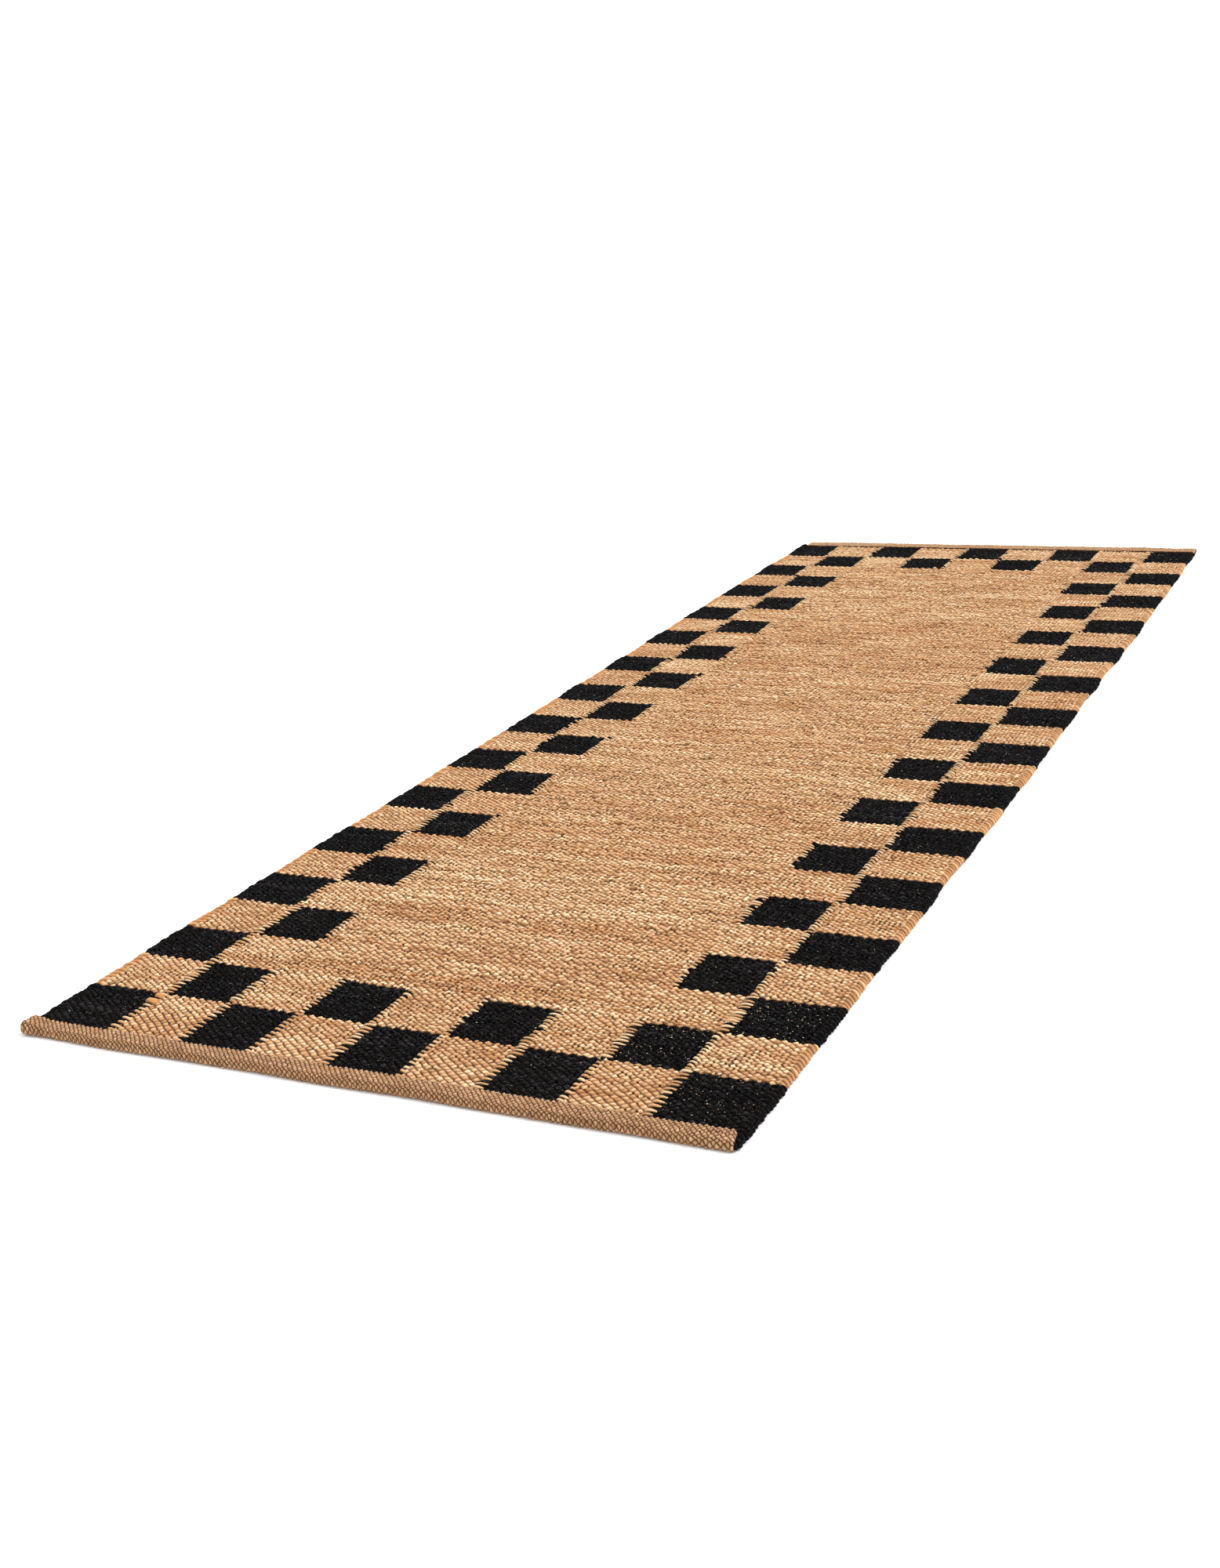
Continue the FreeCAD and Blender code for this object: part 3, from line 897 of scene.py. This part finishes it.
def build_turns():
    """Where the colour changes across the weave, each yarn turns back round a shared warp."""
    r = np.random.default_rng(404)
    shells = {"black": Shell(), "natural": Shell()}
    for c in range(1, COLUMNS):
        for row in range(ROWS):
            if is_black(c - 1, row) == is_black(c, row):
                continue
            natural_side = 1 if is_black(c - 1, row) else -1
            strong = r.uniform() < STRONG_JOINS or (c == 1 and row < STRONG_ROWS)
            edge = warp_x(c * WARPS_PER_COLUMN - 0.5)
            for turn in range(PICKS_PER_ROW // 2):
                line = row * PICKS_PER_ROW + 2 * turn + 1
                y = LINE_Y[line] + r.uniform(-0.5, 0.5) * MM
                long = r.uniform(0.7, 1.3) * (TURN_LONG if strong else TURN_SHORT)
                reach = natural_side * long * TURN_REACH
                fat = c == 1 and row == 0 and turn in FAT_TURNS
                width = TURN_WIDTH * (FATTER if fat else r.uniform(0.75, 1.1))
                start = (edge + reach + cloth_x(edge, y) - edge, cloth_y(edge, y))
                heading = (math.pi if natural_side > 0 else 0) + r.uniform(-0.12, 0.12)
                heading -= TURN_SPLAY * natural_side
                bend = TURN_BEND * natural_side
                if r.uniform() < TURNS_SHOWN or strong:
                    tone = (0.5 + 0.35 * r.uniform(-1, 1), 0.9 if fat else 0.25 + 0.3 * r.uniform() ** 3)
                    arc_of_yarn(shells["natural"], start, heading, long, width, bend, tone)
                if r.uniform() < TURNS_SHOWN:
                    y = LINE_Y[line + 1] if line + 1 < PICKS else LINE_Y[line]
                    back = (edge - reach + cloth_x(edge, y) - edge, cloth_y(edge, y))
                    tone = (0.4 + 0.2 * r.uniform(-1, 1), 0.2)
                    arc_of_yarn(
                        shells["black"], back, heading + math.pi, long * 0.9, TURN_WIDTH * 0.9, -bend, tone
                    )
    return [
        shells["natural"].piece("natural_turns", natural, "natural_jute"),
        shells["black"].piece("black_turns", black, "black_jute"),
    ]


# ---------------------------------------------------------------- stray fibres


def build_fibres(name, material, slot, count, seed, places, tone, longest=4.5, thick=0.1):
    """Loose ends of fibre that stand out of the yarn."""
    r = np.random.default_rng(seed)
    shell = Shell()
    done = 0
    while done < count:
        x = r.uniform(WEAVE_LOW[0], WEAVE_HIGH[0])
        y = r.uniform(WEAVE_LOW[1], WEAVE_HIGH[1])
        c = min(int((x - WEAVE_LOW[0]) / COLUMN_W), COLUMNS - 1)
        row = min(int((y - WEAVE_LOW[1]) / ROW_L), ROWS - 1)
        if r.uniform() > places(c, row):
            continue
        done += 1
        length = r.uniform(0.3, 1) * longest * MM
        heading = r.normal(0, 0.7) + (math.pi if r.uniform() < 0.5 else 0)
        t = np.linspace(0, 1, 4)
        bend = r.uniform(-0.1, 0.1) * length * t ** 2
        px = cloth_x(x, y) + math.cos(heading) * length * t - math.sin(heading) * bend
        py = y + math.sin(heading) * length * t + math.cos(heading) * bend
        rise = r.uniform(0.1, 0.5) * MM
        pz = WEAVE_H - 0.4 * MM + rise * np.sin(math.pi * np.clip(t, 0, 0.9)) + 0.5 * MM
        theta = np.arange(3) / 3 * 2 * math.pi
        radius = r.uniform(0.6, 1.0) * thick * MM * np.array([1, 1, 0.9, 0.4])
        points = np.stack([
            px[:, None] - math.sin(heading) * np.cos(theta) * radius[:, None],
            py[:, None] + math.cos(heading) * np.cos(theta) * radius[:, None],
            pz[:, None] + np.sin(theta) * radius[:, None],
        ], -1)
        look = np.zeros(points.shape)
        look[..., 0] = tone + 0.3 * r.uniform(-1, 1)
        look[..., 1] = 1
        look[..., 2] = 0.2 * r.uniform()
        tube(shell, points, look, flip=False)
    return shell.piece(name, material, slot)


# ---------------------------------------------------------------- cords and thread inside


def cord_along(shell, path, radius, sides, looks):
    """A round cord along a path of points."""
    path = np.asarray(path)
    heading = np.gradient(path, axis=0)
    heading /= np.linalg.norm(heading, axis=1)[:, None]
    aside = np.cross(heading, (0.0, 0.0, 1.0))
    flat = np.linalg.norm(aside, axis=1) < 0.2
    aside[flat] = (1.0, 0.0, 0.0)
    aside /= np.linalg.norm(aside, axis=1)[:, None]
    above = np.cross(aside, heading)
    theta = np.arange(sides) / sides * 2 * math.pi
    ring = np.cos(theta)[None, :, None] * aside[:, None] + np.sin(theta)[None, :, None] * above[:, None]
    points = path[:, None] + radius * ring
    tube(shell, points, np.broadcast_to(looks, points.shape), flip=False)


def build_warps():
    """The warps run straight through the weave and turn back inside each hem."""
    shell = Shell()
    inner_y = np.linspace(WEAVE_LOW[1], WEAVE_HIGH[1], WARP_STATIONS)
    for i in range(WARPS):
        x = warp_x(i)
        run = [(cloth_x(x, y), y, WEAVE_H / 2) for y in inner_y]
        near = [(cloth_x(x, -1.0), WEAVE_LOW[1] - y * MM, z * MM) for y, z in reversed(WARP_TURN)]
        far = [(cloth_x(x, 1.0), WEAVE_HIGH[1] + y * MM, z * MM) for y, z in WARP_TURN]
        cord_along(shell, near + run + far, WARP_R, 6, HIDDEN_LOOKS)
    return shell.piece("warp_yarns", warp_yarn, "warp_cord", ["warp_cords"])


def build_core(side):
    """The thick cord inside a selvedge."""
    name = "left_selvedge_core" if side < 0 else "right_selvedge_core"
    low, high = node_box(name)
    edge = side * WEAVE_HIGH[0]
    path = []
    for y in np.linspace(low[1], high[1], WARP_STATIONS):
        shift = cloth_x(edge, y) - edge
        path.append(((low[0] + high[0]) / 2 + shift, y, (low[2] + high[2]) / 2))
    shell = Shell()
    cord_along(shell, path, (high[2] - low[2]) / 2, 8, HIDDEN_LOOKS)
    return shell.piece(f"cord_in_{name}", warp_yarn, "warp_cord", [name])


def build_hem_thread(name, turned):
    """Running stitches that hold a hem's fold to its underside."""
    low, high = node_box("near_hem_thread")
    spin = -1 if turned else 1
    count = 2 * int((high[0] - low[0]) / STITCH)
    path = []
    for n in range(1, count):
        x = low[0] + (high[0] - low[0]) * n / count
        z = STITCH_LOW if n % 2 else STITCH_HIGH
        x_world = spin * x
        x_world += float(drawn_in(np.array(x_world), spin * low[1]))
        path.append((x_world, spin * (low[1] + high[1]) / 2, z))
    shell = Shell()
    cord_along(shell, path, THREAD_R, 5, HIDDEN_LOOKS)
    return shell.piece(f"stitches_{name}", thread, "sewing_thread", [name])


# ---------------------------------------------------------------- the whole rug

checks = build_checks()
field, band_lengths = build_field()
wraps = selvedge(-1) + selvedge(1)
hems = [hem("near_hem_band", False), hem("far_hem_band", True)]
turns = build_turns()
# Ends of fibre that the dye left grey: dull, and only seen against the black.
grey = jute("grey fibre ends", "6A6C70", "8F9094", "B5B4B2", "A08A6C", "6A6C70")


def on_black(c, row):
    return 1.0 if is_black(c, row) else 0.0


def mostly_on_natural(c, row):
    return 0.1 if is_black(c, row) else 1.0


def flecked(c, row):
    """Straw flecks show most in the three checks at the near right corner."""
    return is_black(c, row) * (1.0 if c > 6 and row < 3 else 0.06)


fibres = [
    build_fibres("fibres_on_black", grey, "black_jute", 1100, 91, on_black, 0.5),
    build_fibres(
        "flecks_in_black", natural, "natural_jute", 420, 93, flecked, 0.8, longest=1.8, thick=0.3
    ),
    build_fibres("fibres_on_natural", natural, "natural_jute", 900, 92, mostly_on_natural, 0.8),
]


# ---------------------------------------------------------------- cords and thread, finished


def plain_yarn(name, colour, roughness):
    """Twisted cord that the weave hides: only its twist shows at a cut."""
    material = bpy.data.materials.new(name)
    material.use_nodes = True
    tree = material.node_tree
    shader = tree.nodes["Principled BSDF"]
    place = node(tree, "ShaderNodeTexCoord").outputs["Object"]
    twist = node(tree, "ShaderNodeTexNoise", Vector=place, Scale=TWISTS_PER_METRE, Detail=2.0)
    colour = ramp(tree, twist.outputs[0], [(0.3, srgb(colour[0])), (0.7, srgb(colour[1]))])
    tree.links.new(colour, shader.inputs["Base Color"])
    shader.inputs["Roughness"].default_value = roughness
    shader.inputs["IOR"].default_value = 1.5
    return material


# Undyed cotton cord, twisted: off-white and matt where a cut end shows it.
warp_yarn = plain_yarn("cotton warp cord", ("B9AF9C", "DDD5C4"), 0.8)
# Waxed sewing thread: brown, and a little smoother than the twine it holds.
thread = plain_yarn("waxed sewing thread", ("8F7B60", "B7A081"), 0.55)
inner = [build_warps(), build_core(-1), build_core(1)]
inner += [build_hem_thread("near_hem_thread", False), build_hem_thread("far_hem_thread", True)]


# ---------------------------------------------------------------- floor, light and camera

# Matt white paint: it goes pure white in the light, and keeps only a breath of shadow.
floor_paint = bpy.data.materials.new("white studio floor")
floor_paint.use_nodes = True
floor_paint.node_tree.nodes["Principled BSDF"].inputs["Base Color"].default_value = srgb("F8F8F8")
floor_paint.node_tree.nodes["Principled BSDF"].inputs["Roughness"].default_value = 0.6
bpy.ops.mesh.primitive_plane_add(size=40, location=(0, 0, 0))
floor = bpy.context.object
floor.name = "floor"
floor.data.materials.append(floor_paint)

world = bpy.data.worlds.new("white studio")
bpy.context.scene.world = world
world.use_nodes = True
world.node_tree.nodes["Background"].inputs["Color"].default_value = (1.0, 1.0, 1.0, 1.0)
world.node_tree.nodes["Background"].inputs["Strength"].default_value = WORLD_LIGHT


def soft_sun(name, azimuth, elevation, spread, strength):
    """Even light from a wide source a long way off. Azimuth runs from +X towards +Y."""
    light = bpy.data.lights.new(name, "SUN")
    light.angle = math.radians(spread)
    light.energy = strength
    holder = bpy.data.objects.new(name, light)
    az, el = math.radians(azimuth), math.radians(elevation)
    towards = Vector((math.cos(az) * math.cos(el), math.sin(az) * math.cos(el), math.sin(el)))
    holder.rotation_euler = towards.to_track_quat("Z", "Y").to_euler()
    bpy.context.collection.objects.link(holder)


soft_sun("high soft box", SUN_AZIMUTH, SUN_HEIGHT, SUN_SPREAD, SUN_STRENGTH)

camera = bpy.data.cameras.new("camera")
camera.sensor_width = SENSOR
camera.lens = LENS
viewer = bpy.data.objects.new("camera", camera)
viewer.location = EYE
viewer.rotation_euler = [math.radians(a) for a in EYE_TURN]
bpy.context.collection.objects.link(viewer)
bpy.context.scene.camera = viewer
bpy.context.scene.view_settings.view_transform = "Standard"
